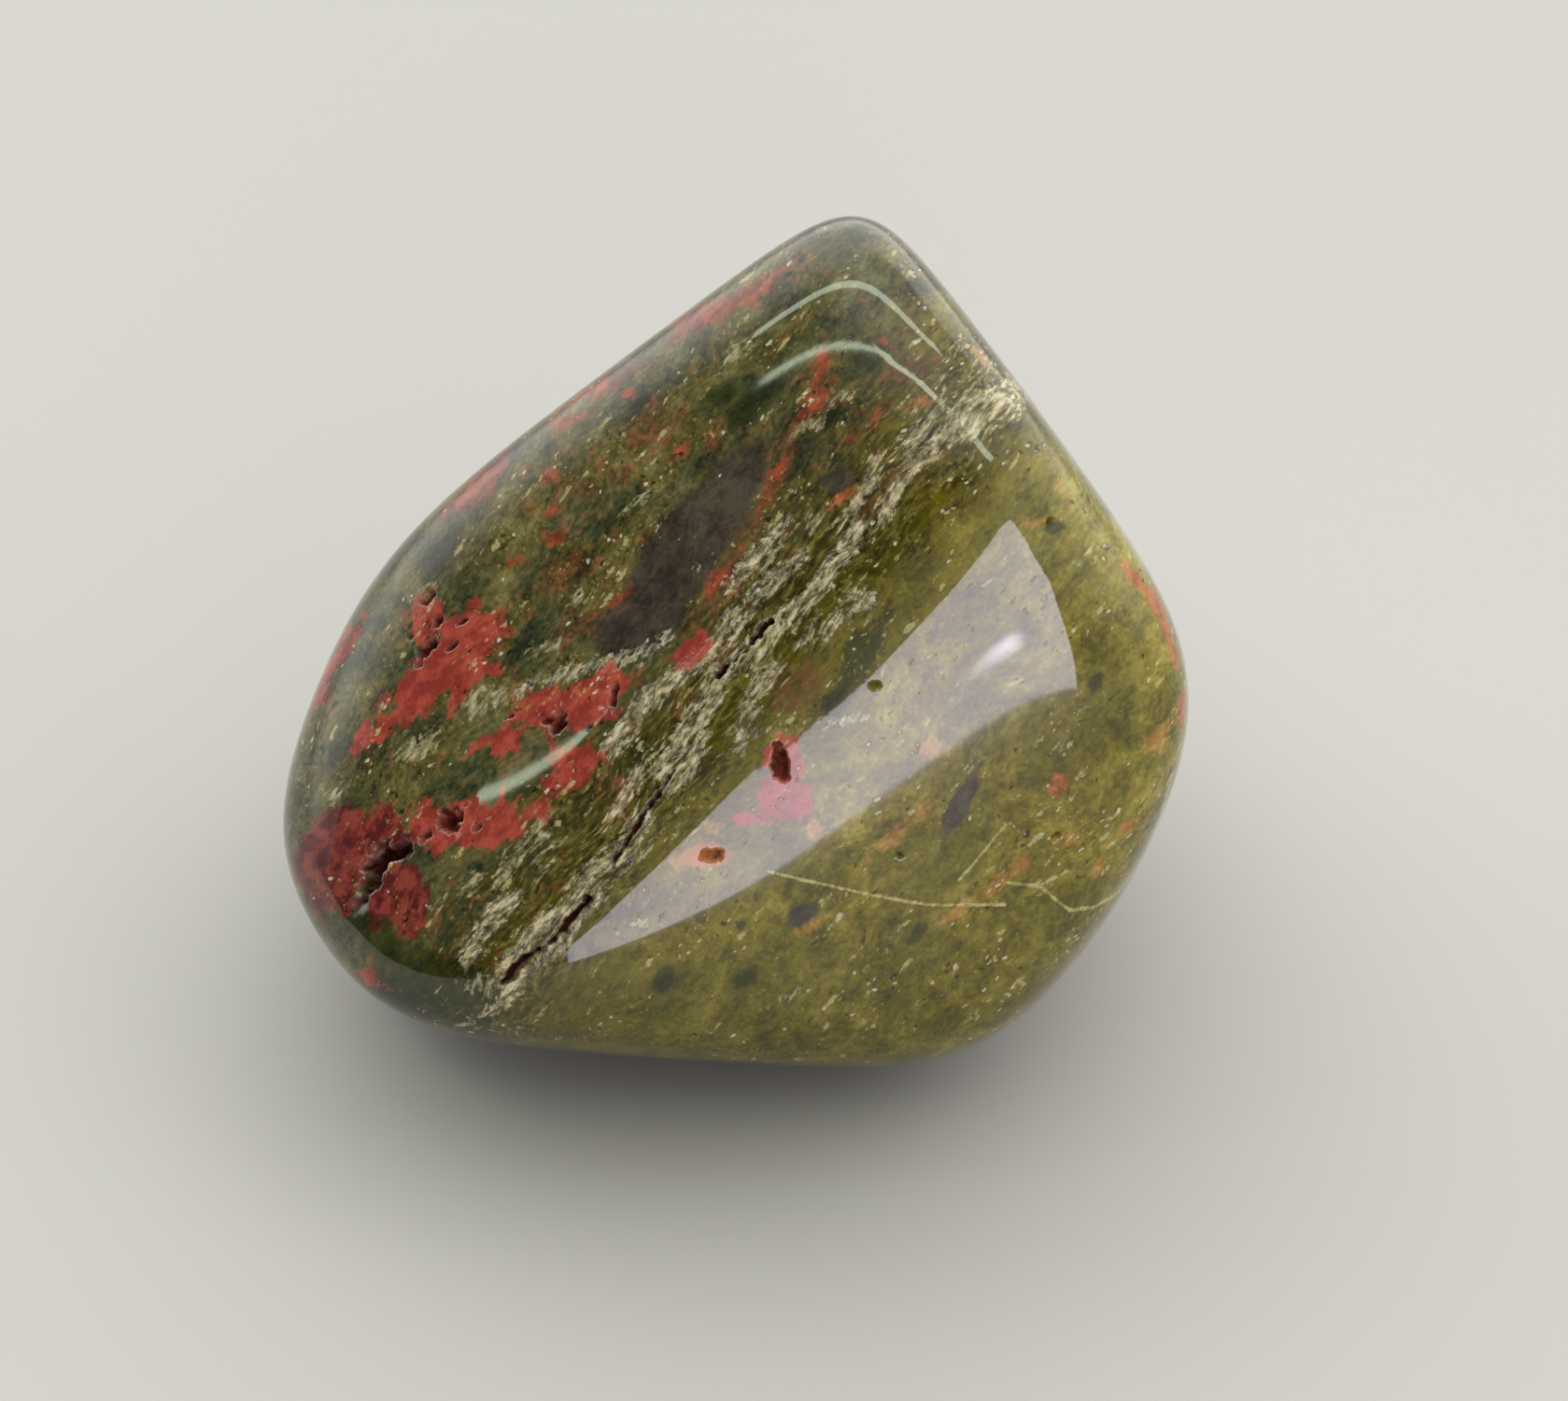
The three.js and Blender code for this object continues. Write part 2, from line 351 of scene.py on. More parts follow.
# Ropes of crumbly cream mineral in the diagonal band: the places they pass through, and a width.
CREAM_ROPES = [
    ([(8.6, 8.8), (7.9, 8.3), (7.0, 7.7)], 1.1),
    ([(7.1, 7.8), (6.1, 7.2), (5.4, 6.4), (4.6, 5.4), (4.3, 4.8)], 0.4),
    ([(1.3, 4.6), (0.5, 3.7), (-0.5, 2.5)], 0.25),
    ([(1.8, 3.6), (0.9, 2.8), (0.2, 2.1)], 0.2),
    ([(3.9, 2.2), (3.0, 1.6), (1.9, 0.9)], 0.22),
    ([(3.5, 4.3), (3.1, 3.7), (2.6, 2.9), (1.9, 2.0), (1.0, 1.3), (0.1, 0.5)], 0.45),
    ([(0.1, 0.5), (-0.8, -0.3), (-1.4, -1.5), (-2.4, -2.7), (-2.6, -3.3)], 0.5),
    ([(-1.4, -2.1), (-1.9, -3.1), (-2.4, -3.8)], 0.4),
    ([(-0.3, 1.6), (-1.2, 0.4), (-2.3, -0.3), (-3.1, -0.9), (-3.9, -2.1), (-4.4, -2.7)], 0.4),
    ([(6.2, 8.1), (5.5, 7.5), (5.2, 6.7)], 0.25),
    ([(4.0, 6.5), (3.8, 5.7), (3.4, 4.9)], 0.22),
    ([(0.8, 0.0), (0.4, -0.6), (0.0, -1.7), (-0.3, -2.5)], 0.4),
    ([(-3.3, -4.9), (-3.7, -5.8), (-4.8, -6.5), (-5.2, -7.3)], 0.4),
    ([(-5.2, -7.3), (-6.5, -8.2), (-7.5, -9.4), (-8.3, -10.3)], 0.45),
    ([(-4.9, -7.3), (-6.0, -8.8), (-7.5, -10.3), (-8.1, -11.0)], 0.3),
    ([(-7.5, -7.4), (-8.1, -8.0), (-8.7, -8.8), (-9.0, -9.4)], 0.4),
    ([(-3.5, -3.4), (-4.0, -4.6)], 0.35),
    ([(-2.6, 1.0), (-3.5, 0.3), (-5.0, 0.0), (-7.2, -0.7)], 0.14),
]

# Hairline veins of pale quartz: the places they pass through, and a width.
VEINS = [
    ([(0.7, -6.5), (1.9, -6.8), (3.7, -7.2), (4.7, -7.4), (5.9, -7.6), (7.0, -7.6), (8.3, -7.6)], 0.1),
    ([(8.4, -6.9), (9.4, -7.0), (10.0, -7.5), (10.4, -7.8)], 0.1),
    ([(10.4, -7.8), (11.2, -7.7), (12.0, -7.3), (12.8, -6.2)], 0.1),
    ([(12.8, -6.2), (13.3, -5.0), (13.7, -3.4)], 0.1),
    ([(9.4, -7.0), (10.3, -6.5)], 0.08),
    ([(8.3, -5.0), (7.5, -6.0), (6.8, -6.8)], 0.08),
]

# The streaky band crosses the stone as a slab, and the olive side of the stone lies to the right of
# the dark side's edge.
BAND_MIDDLE = [
    (12.0, 13.0),
    (6.5, 8.0),
    (3.5, 4.6),
    (0.0, 0.6),
    (-2.6, -3.0),
    (-6.0, -7.5),
    (-10.0, -13.0),
]
BAND_HALF_WIDTH = 2.6
DARK_SIDE_EDGE = [
    (-14.0, -14.0),
    (-6.0, -8.0),
    (-1.5, -2.0),
    (2.0, 3.5),
    (3.8, 6.0),
    (4.6, 8.5),
    (5.8, 10.5),
    (7.5, 12.5),
    (7.5, 17.0),
]

# The stone's mesh starts as a fine ball, whose points are moved out to the worn surface.
BALL_STEPS = 7  # gives triangles about 0.25 mm across
ball = bmesh.new()
bmesh.ops.create_icosphere(ball, subdivisions=BALL_STEPS, radius=1)


def halve_near(lump, spots, reaches):
    """Cuts every edge near the spots in half, so that small pits and marks have enough points."""
    offsets = to_surface(np.array([point.co for point in lump.verts]))
    for point, offset in zip(lump.verts, offsets):
        point.co = offset
    lump.verts.index_update()
    edges = lump.edges[:]
    ends = np.array([(edge.verts[0].index, edge.verts[1].index) for edge in edges])
    middles = offsets[ends].mean(1)
    near = np.zeros(len(middles), bool)
    for spot, reach in zip(spots, reaches):
        near |= ((middles - spot) ** 2).sum(1) < reach**2
    chosen = [edges[index] for index in np.nonzero(near)[0]]
    bmesh.ops.subdivide_edges(lump, edges=chosen, cuts=1, use_grid_fill=True)
    bmesh.ops.triangulate(lump, faces=lump.faces[:])


def along_line(line, step):
    """Places spaced along a line, no farther apart than a step."""
    places = []
    for start, end in zip(line, line[1:]):
        right, up = end[0] - start[0], end[1] - start[1]
        count = int(np.ceil(np.hypot(right, up) / step))
        for share in np.arange(count) / count:
            places.append((start[0] + share * right, start[1] + share * up))
    return places + [line[-1]]


# The pits, crevices and veins have the finest points, and the small marks finer ones than the rest.
# These are how far past its own edge each has them, and how closely a line is followed, all in mm.
EDGE_MARGIN = 0.2
CREVICE_MARGIN = 0.25
CREVICE_STEP = 0.2
VEIN_REACH = 0.16
VEIN_STEP = 0.1
ROPE_STEP = 0.3
SMALL_WIDTH = 0.6
fine_places = [(right, up, length / 2 + EDGE_MARGIN) for right, up, length, *_ in PITS]
for line, width, _ in CREVICES:
    reach = width / 2 + CREVICE_MARGIN
    fine_places += [(right, up, reach) for right, up in along_line(line, CREVICE_STEP)]
for line, _ in VEINS:
    fine_places += [(right, up, VEIN_REACH) for right, up in along_line(line, VEIN_STEP)]
small_places = list(fine_places)
for patches in (FAINT_RED_PATCHES, ORANGE_PATCHES, CORAL_PATCHES, CREAM_PATCHES):
    for right, up, length, width, _ in patches:
        if width < SMALL_WIDTH:
            small_places.append((right, up, length / 2 + EDGE_MARGIN))
for line, width in CREAM_ROPES:
    reach = width / 2 + EDGE_MARGIN
    small_places += [(right, up, reach) for right, up in along_line(line, ROPE_STEP)]
for places in (small_places, fine_places):
    halve_near(ball, seen_at([place[:2] for place in places]), [place[2] for place in places])

offsets = to_surface(np.array([point.co for point in ball.verts]))
ways = outward(offsets)
seen = offsets @ view_axes.T
FAR = 99.0  # mm: farther than any point of the stone is from another


def distance_to_line(line, reach_behind):
    """How far each point is from a line, in mm, as seen from the front, and no deeper than a reach."""
    depth_at = seen_at(line) @ view_towards
    nearest = np.full(len(seen), FAR)
    for index in range(len(line) - 1):
        start = np.array(line[index])
        step = np.array(line[index + 1]) - start
        share = np.clip((seen[:, :2] - start) @ step / (step @ step), 0, 1)
        gap = seen[:, :2] - start - share[:, None] * step
        level = depth_at[index] * (1 - share) + depth_at[index + 1] * share
        behind = np.maximum(0, np.abs(seen[:, 2] - level) - reach_behind)
        nearest = np.minimum(nearest, np.sqrt((gap**2).sum(1) + behind**2))
    return nearest


# The hollows: a pit is a bowl with a ragged rim, and a crevice is a ragged groove. The harder olive
# side, to the right, broke more cleanly. Waves are sizes in mm, each with its strength.
RIM_WAVES = [(0.45, 0.6), (0.16, 0.5)]
GROOVE_WAVES = [(0.8, 1.6), (0.25, 1.4)]
FLOOR_WAVES = [(0.2, 0.6), (0.08, 0.3)]
RIM_REACH = 0.5  # mm past its own length that a pit's ragged rim can reach
OLIVE_PITS_FROM = -2.0  # mm to the right, where the cleaner pits start
OLIVE_RAGGED = 0.5  # how ragged their rims are, where the others have 1
BOWL_FLOOR = 2.5  # a higher value gives a flatter floor
BOWL_WALL = 0.8  # a lower value gives a steeper wall
SHADE_DARKEST_AT = 0.8  # mm down, where a pit looks its darkest
HOLLOW_FROM = 0.02  # mm down, where the raw stone starts
depths = np.zeros(len(offsets))


def roughly(points, waves):
    """Uneven values about 0 at some points, from waves."""
    values = []
    for point in points:
        values.append(sum(strength * noise.noise(Vector(point) / size) for size, strength in waves))
    return np.array(values)


for right, up, length, width, depth, turn in PITS:
    spot = seen_at([(right, up)])
    way = outward(spot)[0]
    along = np.array((np.cos(np.radians(turn)), np.sin(np.radians(turn)))) @ view_axes[:2]
    along -= way * (along @ way)
    along /= np.linalg.norm(along)
    across = np.cross(way, along)
    near = np.nonzero(((offsets - spot) ** 2).sum(1) < (length + RIM_REACH) ** 2)[0]
    from_spot = offsets[near] - spot
    share = np.hypot(from_spot @ along / (length / 2), from_spot @ across / (width / 2))
    ragged = 1 if right < OLIVE_PITS_FROM else OLIVE_RAGGED
    share += ragged * roughly(offsets[near], RIM_WAVES)
    bowl = depth * np.maximum(0, 1 - np.maximum(0, share) ** BOWL_FLOOR) ** BOWL_WALL
    depths[near] = np.maximum(depths[near], bowl)
# Painted shade: the hollows are painted darker the deeper they go, darkest at the depth above.
shade = depths / SHADE_DARKEST_AT
SEAM_DEPTH = 1.5  # mm: how far a seam or a rope goes into the stone
NARROWED = 0.1  # keeps the ragged groove a little narrower than its width
# Crevices get painted shade too, growing with their depth.
SEAM_SHADE = 1.1  # a crevice looks its darkest just before it is at its deepest
for line, width, depth in CREVICES:
    away = distance_to_line(line, SEAM_DEPTH)
    near = np.nonzero(away < 2 * width)[0]
    share = NARROWED + away[near] / (width / 2) + roughly(offsets[near], GROOVE_WAVES)
    groove = depth * np.maximum(0, 1 - np.maximum(0, share) ** 2) ** 0.5
    depths[near] = np.maximum(depths[near], groove)
    shade[near] = np.maximum(shade[near], SEAM_SHADE * groove / depth)
hollowed = depths > 0
depths[hollowed] *= 1 + roughly(offsets[hollowed], FLOOR_WAVES)

# Each patch is an egg-shaped lump with its middle on the surface. Those in the front are placed as
# they are seen. The sides and the back, which nobody has seen, get patches by chance, lying in the
# grain.
SEEN_DEPTH = 1.0  # mm: a patch goes this much further into the stone than it is long
GRAIN_TURN = 50  # degrees that the grain rises to the right
GRAIN_SPREAD = 0.3  # how far a patch by chance may stray from the grain
SLIMMEST = 0.35  # the width of a patch by chance, as a share of its length
WIDEST = 0.7
LOOKS_AWAY = 0.1  # how far the surface looks away from the front where patches by chance start
NOT_INSIDE = -3.0  # mm: the field of a mark where there is none near
grain_turn = np.radians(GRAIN_TURN)
grain_along = np.array((np.cos(grain_turn), np.sin(grain_turn))) @ view_axes[:2]


def inside_lumps(lumps):
    """How far inside the nearest lump each point is, about in mm: less than 0 is outside them all."""
    inside = np.full(len(offsets), NOT_INSIDE)
    for spot, axes, halves in lumps:
        share = np.linalg.norm((offsets - spot) @ np.array(axes).T / halves, axis=1)
        inside = np.maximum(inside, (1 - share) * min(halves) ** 0.5)
    return inside


def seen_lumps(patches):
    """The lumps whose cuts are seen from the front at these places."""
    lumps = []
    for right, up, length, width, turn in patches:
        along = np.array((np.cos(np.radians(turn)), np.sin(np.radians(turn)))) @ view_axes[:2]
        axes = (along, np.cross(view_towards, along), view_towards)
        halves = (length / 2, width / 2, length + SEEN_DEPTH)
        lumps.append((seen_at([(right, up)])[0], axes, halves))
    return lumps


def unseen_lumps(count, shortest, longest, seed):
    """Lumps by chance on the sides and back of the stone, and underneath."""
    chance = np.random.default_rng(seed)
    lumps = []
    while len(lumps) < count:
        spot = to_surface(chance.normal(size=(1, 3)))
        way = outward(spot)[0]
        if way @ view_towards > -LOOKS_AWAY:
            continue
        along = grain_along + chance.normal(scale=GRAIN_SPREAD, size=3)
        along -= way * (along @ way)
        along /= np.linalg.norm(along)
        half = chance.uniform(shortest, longest) / 2
        halves = (half, half * chance.uniform(SLIMMEST, WIDEST), half)
        lumps.append((spot[0], (along, np.cross(way, along), way), halves))
    return lumps


def inside_lines(lines, reach_behind):
    """How far inside the nearest streak or seam each point is, in mm."""
    inside = np.full(len(seen), NOT_INSIDE)
    for line, width in lines:
        inside = np.maximum(inside, width / 2 - distance_to_line(line, reach_behind))
    return inside


def side_of(line):
    """How far each point is to the right of a line that is walked from its start, in mm."""
    best = np.full(len(seen), FAR)
    signed = np.zeros(len(seen))
    for start, end in zip(line, line[1:]):
        start = np.array(start)
        step = np.array(end) - start
        share = np.clip((seen[:, :2] - start) @ step / (step @ step), 0, 1)
        gap = seen[:, :2] - start - share[:, None] * step
        away = np.hypot(gap[:, 0], gap[:, 1])
        turned = np.sign(gap[:, 0] * step[1] - gap[:, 1] * step[0])
        closer = away < best
        best = np.where(closer, away, best)
        signed = np.where(closer, turned * away, signed)
    return signed


# The band goes right through the stone. On the back, its cream mineral is in strands instead of ropes.
STRAND_SIZES = (3.0, 1.1, 1.7)  # mm along the grain, across it and deep
STRAND_WAVES = [(1.0, 1.0), (0.4, 0.3)]
STRAND_HALF_WIDTH = 0.14
VEIN_BEND = 0.4  # mm: the step that a vein follows the surface in
VEIN_DEPTH = 0.15
OLIVE_LIMIT = 4  # mm: the fields of the two sides are cut off this far from the edge between them
SPECKLES_END = 1.2  # mm to the right of that edge, where the rusty speckles of the dark side end
SPECKLES_FADE = 2.0  # mm over which they thin out
band = 1 - distance_to_line(BAND_MIDDLE, FAR) / BAND_HALF_WIDTH
grain_view = np.array((grain_along, np.cross(view_towards, grain_along), view_towards))
strands = np.abs(roughly(offsets @ grain_view.T / STRAND_SIZES, STRAND_WAVES))
in_strands = np.minimum(0.5 * band, STRAND_HALF_WIDTH - 2 * strands)
cream_behind = np.where(ways @ view_towards < 0, in_strands, NOT_INSIDE)
olive_side = side_of(DARK_SIDE_EDGE)
veins = [(along_line(line, VEIN_BEND), width) for line, width in VEINS]

# What the material reads at each point of the mesh.
fields = {
    "red": inside_lumps(seen_lumps(RED_PATCHES) + unseen_lumps(24, 0.8, 4.2, seed=1)),
    "faint_red": inside_lumps(seen_lumps(FAINT_RED_PATCHES)),
    "shaded_red": inside_lumps(seen_lumps(SHADED_RED_PATCHES)),
    "orange": inside_lumps(seen_lumps(ORANGE_PATCHES) + unseen_lumps(14, 0.6, 2.0, seed=9)),
    "coral": inside_lumps(seen_lumps(CORAL_PATCHES) + unseen_lumps(8, 0.5, 1.5, seed=6)),
    "rust": np.maximum(inside_lumps(seen_lumps(RUST_PATCHES)), inside_lines(RUST_SEAMS, SEAM_DEPTH)),
    "dark": inside_lumps(seen_lumps(DARK_AND_SHADED_PATCHES) + unseen_lumps(20, 0.6, 2.0, seed=3)),
    "smoky": inside_lumps(seen_lumps(SMOKY_PATCHES) + unseen_lumps(5, 1.5, 4.5, seed=4)),
    "pale": inside_lumps(seen_lumps(PALE_PATCHES)),
    "deep": inside_lumps(seen_lumps(DEEP_AND_SHADED_PATCHES)),
    "cream": inside_lumps(seen_lumps(CREAM_PATCHES) + unseen_lumps(18, 0.5, 2.0, seed=5)),
    "rope": np.maximum(inside_lines(CREAM_ROPES, SEAM_DEPTH), cream_behind),
    "vein": inside_lines(veins, VEIN_DEPTH),
    "band": np.clip(band, -1, 1),
    "olive_side": np.clip(olive_side, -OLIVE_LIMIT, OLIVE_LIMIT),
    "speckled": np.clip((SPECKLES_END - olive_side) / SPECKLES_FADE, 0, 1),
    # Painted shade in the pits and crevices, darker where they are deeper.
    "painted_shade_in_hollows": np.clip(shade, 0, 1),
    "hollow": (depths > HOLLOW_FROM).astype(float),
}

stone_mesh = bpy.data.meshes.new("tumbled_stone")
for point, offset in zip(ball.verts, offsets - ways * depths[:, None]):
    point.co = Vector(offset + (0, 0, CORE_HEIGHT)) * MM
ball.to_mesh(stone_mesh)
ball.free()
stone_mesh.shade_smooth()
for name, values in fields.items():
    attribute = stone_mesh.attributes.new(name, "FLOAT", "POINT")
    attribute.data.foreach_set("value", values.astype(np.float32))
stone = bpy.data.objects.new("tumbled_stone", stone_mesh)
bpy.context.scene.collection.objects.link(stone)


def linear(hex_colour):
    """A linear colour from an sRGB hex value."""
    colour = []
    for place in (1, 3, 5):
        part = int(hex_colour[place : place + 2], 16) / 255
        colour.append(part / 12.92 if part <= 0.04045 else ((part + 0.055) / 1.055) ** 2.4)
    return colour + [1]


def add(tree, kind, inputs, **settings):
    """Adds a node to a tree, sets its settings, and gives its inputs values or links."""
    node = tree.nodes.new(kind)
    for name, value in settings.items():
        setattr(node, name, value)
    for name, value in inputs.items():
        if isinstance(value, bpy.types.NodeSocket):
            tree.links.new(value, node.inputs[name])
        else:
            node.inputs[name].default_value = value
    return node


# Jasper, tumbled and polished: an opaque quartz stone with a glassy, mirror-sharp polish over a
# mottled green body, so that lights show as crisp veils over the pattern.
jasper = bpy.data.materials.new("jasper, tumbled and polished")
jasper.use_nodes = True
tree = jasper.node_tree
tree.nodes.clear()
place = add(tree, "ShaderNodeTexCoord", {}).outputs["Object"]

# The grain of the stone runs up to the right, and right through it from front to back. It was bent as
# the stone grew, so each place is pushed about a little before it is laid in the grain.
BEND_SIZE = 3.5  # mm from one bend to the next
BEND_BY = 1.2  # mm that a place is pushed at most
inputs = {"Vector": place, "Scale": 1 / (BEND_SIZE * MM), "Detail": 2}
bend = add(tree, "ShaderNodeTexNoise", inputs).outputs["Color"]
inputs = {0: bend, 1: [BEND_BY * MM] * 3, 2: place}
bent = add(tree, "ShaderNodeVectorMath", inputs, operation="MULTIPLY_ADD").outputs[0]
grain_axes = Matrix((grain_along, np.cross(view_towards, grain_along), view_towards))
inputs = {"Vector": bent, "Rotation": grain_axes.transposed().to_euler(), "Scale": [MM] * 3}
in_grain = add(tree, "ShaderNodeMapping", inputs, vector_type="TEXTURE").outputs[0]

# Patterns in the grain: their size in mm along it, across it and deep, their detail and roughness.
# The crumbs stand for quartz grains down to 0.05 mm, which are too fine to show in the render.
GRAIN_PATTERNS = {
    "clouds": (2.4, 1.6, 1.9, 3, 0.55),
    "tints": (2.2, 1.4, 1.7, 2, 0.5),
    "wisps": (0.7, 0.5, 0.6, 4, 0.65),
    "streaks": (1.5, 0.24, 0.8, 4, 0.65),
    "threads": (0.5, 0.17, 0.3, 4, 0.65),
    "patch edges": (0.95, 0.65, 0.8, 3, 0.55),
    "rust": (0.8, 0.5, 0.6, 3, 0.58),
    "crumbs": (0.24, 0.15, 0.2, 3, 0.65),
}
patterns = {}
for name, (along, across, deep, detail, roughness) in GRAIN_PATTERNS.items():
    inputs = {0: in_grain, 1: (along, across, deep)}
    sized = add(tree, "ShaderNodeVectorMath", inputs, operation="DIVIDE").outputs[0]
    inputs = {"Vector": sized, "Scale": 1, "Detail": detail, "Roughness": roughness}
    patterns[name] = add(tree, "ShaderNodeTexNoise", inputs).outputs[0]

# The body colours of the two sides: each side wanders between two tints, and each tint is mottled
# from dark to pale. A pattern keeps near 0.5, so the colours lie close round it.
WISPY = 0.5  # the share of wisps in the mottle, over the clouds
CRUMBLY = 0.3  # the share of crumbs, over both
FIRST_TINT_AT = 0.42
SECOND_TINT_AT = 0.58
BODY_COLOURS_AT = (0.4, 0.48, 0.54, 0.62)
BODY_COLOURS = {
    "dark side": (
        ["#22261a", "#3a3d25", "#504e30", "#6c6645"],
        ["#2b2616", "#494524", "#5c552d", "#757047"],
    ),
    "olive side": (
        ["#3d3a0b", "#564f11", "#685f18", "#867c34"],
        ["#49400b", "#645913", "#766a1c", "#94873c"],
    ),
}
inputs = {0: WISPY, 2: patterns["clouds"], 3: patterns["wisps"]}
mottle = add(tree, "ShaderNodeMix", inputs).outputs[0]
inputs = {0: CRUMBLY, 2: mottle, 3: patterns["crumbs"]}
mottle = add(tree, "ShaderNodeMix", inputs).outputs[0]
patterns["mottle"] = mottle
inputs = {"Value": patterns["tints"], "From Min": FIRST_TINT_AT, "From Max": SECOND_TINT_AT}
tinted = add(tree, "ShaderNodeMapRange", inputs, interpolation_type="SMOOTHSTEP").outputs[0]
bodies = {}
for side, tints in BODY_COLOURS.items():
    pair = []
    for hex_colours in tints:
        node = add(tree, "ShaderNodeValToRGB", {"Fac": mottle})
        node.color_ramp.elements.new(0.5)
        node.color_ramp.elements.new(0.5)
        stops = node.color_ramp.elements
        for element, position, hex_colour in zip(stops, BODY_COLOURS_AT, hex_colours):
            element.position = position
            element.color = linear(hex_colour)
        pair.append(node.outputs[0])
    inputs = {0: tinted, 6: pair[0], 7: pair[1]}
    bodies[side] = add(tree, "ShaderNodeMix", inputs, data_type="RGBA").outputs[2]

# What lies in the body, each row over the rows before it: its field, the pattern that makes its edge
# ragged and by how much, how ragged it is in fine, how far it is shrunk, how soft its edge is, how much
# it covers, the pattern of its colours, and these. The lengths are in the unit of the field, mostly mm.
MINERALS = [
    ("olive_side", "clouds", 5.0, 1.0, 0.0, 1.2, 1.0, None, None),
    ("pale", "clouds", 4.0, 1.0, 0.0, 1.2, 0.35, "mottle", ["#7a7228", "#948a3a", "#aaa04e"]),
    # Deeper olive, and painted shade low on the front.
    ("deep", "clouds", 5.0, 1.0, 0.0, 1.0, 0.5, "mottle", ["#33320b", "#434010", "#544e19"]),
    ("band", "wisps", 4.0, 1.0, 0.2, 0.6, 0.85, "threads", ["#181206", "#3b3413", "#625b2b"]),
    ("speckled", "rust", 9.0, 1.0, 2.3, 1.0, 0.45, "crumbs", ["#5a2c18", "#7c4028", "#8a5236"]),
    ("rust", "rust", 3.0, 1.8, 0.2, 0.6, 0.5, "mottle", ["#3a2213", "#6b3726", "#875039"]),
    ("smoky", "patch edges", 0.6, 0.2, 0.0, 0.15, 0.92, "mottle", ["#2a2521", "#38312a", "#463f36"]),
    # Blackish green spots, and painted shade low on the left end.
    ("dark", "patch edges", 1.3, 1.0, 0.0, 0.16, 0.8, "mottle", ["#191d10", "#22280f", "#2e3318"]),
    ("orange", "patch edges", 1.5, 0.9, 0.0, 0.3, 0.65, "mottle", ["#8f6024", "#a07232", "#ab8350"]),
    ("coral", "patch edges", 1.4, 0.8, 0.0, 0.25, 0.75, "mottle", ["#8a4425", "#a0532f", "#ad6b45"]),
    ("faint_red", "patch edges", 1.6, 1.6, 0.0, 0.35, 0.8, "wisps", ["#6b2c1e", "#853a29", "#98452f"]),
    ("band", "streaks", 9.0, 2.0, 1.7, 0.35, 0.75, "threads", ["#4a3f1e", "#867a4e", "#b4a880"]),
    ("cream", "streaks", 2.6, 2.0, 0.15, 0.25, 0.7, "threads", ["#4c4426", "#8a845f", "#bab292"]),
    ("rope", "streaks", 1.4, 1.2, 0.0, 0.16, 0.9, "threads", ["#463b1d", "#857b57", "#bfb493"]),
    ("red", "patch edges", 2.2, 0.7, 0.0, 0.14, 0.95, "wisps", ["#7a2e26", "#8c382d", "#994336"]),
    # The red of the left end, painted darker as painted shade.
    ("shaded_red", "patch edges", 2.0, 0.5, 0.0, 0.14, 0.93, "wisps", ["#481a1b", "#652624", "#7b352e"]),
    ("vein", "wisps", 0.12, 0.04, 0.0, 0.03, 0.7, "crumbs", ["#8a8448", "#a8a064", "#b8b078"]),
]
COLOURS_SPREAD = 0.08  # how far a row's first and last colours lie from its middle one
THREADS_SPREAD = 0.12
colour = bodies["dark side"]
amounts = {}
for name, edge, ragged, fine, shrunk, soft, cover, tint, hex_colours in MINERALS:
    field = add(tree, "ShaderNodeAttribute", {}, attribute_name=name).outputs["Fac"]
    inputs = {0: patterns[edge], 1: ragged, 2: field}
    uneven = add(tree, "ShaderNodeMath", inputs, operation="MULTIPLY_ADD").outputs[0]
    inputs = {0: patterns["crumbs"], 1: fine, 2: uneven}
    uneven = add(tree, "ShaderNodeMath", inputs, operation="MULTIPLY_ADD").outputs[0]
    limit = (ragged + fine) / 2 + shrunk
    inputs = {"Value": uneven, "From Min": limit - soft, "From Max": limit + soft, "To Max": cover}
    amounts[name] = add(tree, "ShaderNodeMapRange", inputs, interpolation_type="SMOOTHSTEP").outputs[0]
    if hex_colours:
        node = add(tree, "ShaderNodeValToRGB", {"Fac": patterns[tint]})
        node.color_ramp.elements.new(0.5)
        spread = THREADS_SPREAD if tint == "threads" else COLOURS_SPREAD
        positions = (0.5 - spread, 0.5, 0.5 + spread)
        for element, position, hex_colour in zip(node.color_ramp.elements, positions, hex_colours):
            element.position = position
            element.color = linear(hex_colour)
        top = node.outputs[0]
    else:
        top = bodies["olive side"]
    inputs = {0: amounts[name], 6: colour, 7: top}
    colour = add(tree, "ShaderNodeMix", inputs, data_type="RGBA").outputs[2]

# Fine grains, from dark green to pale cream: a net of cells, of which a share hold a grain. Each row is
# the size of a cell in mm, that share, how big a grain is in its cell, how soft its edge is, how much
# it covers, and its colour. The real ones go finer, and 0.2 mm is as fine as the render shows.
FINE_GRAINS = [
    ((1.1, 0.7, 0.8), 0.3, 0.45, 0.35, 0.4, "#262b14"),
    ((0.36, 0.26, 0.3), 0.12, 0.32, 0.12, 0.75, "#14160c"),
    ((0.9, 0.26, 0.4), 0.2, 0.36, 0.15, 0.65, "#aba270"),
    ((0.2, 0.14, 0.17), 0.22, 0.5, 0.3, 0.35, "#9c9454"),
    # Pale cream grains, which also stand for painted glints of the polish at tiny pits.
    ((0.3, 0.17, 0.23), 0.1, 0.32, 0.22, 0.7, "#c4bc9a"),
]
GRAIN_RAGGED = 1.8  # how far the crumbs eat into a grain, in cells
CROWDED = 1.2  # how much more often grains lie in the one tint of the body than in the other
SMOKY_LACKS = -0.2  # and how much less often in the smoky patches
FULL_LOT = 1.6  # about the highest lot that a cell can have: its own 1 and half of CROWDED
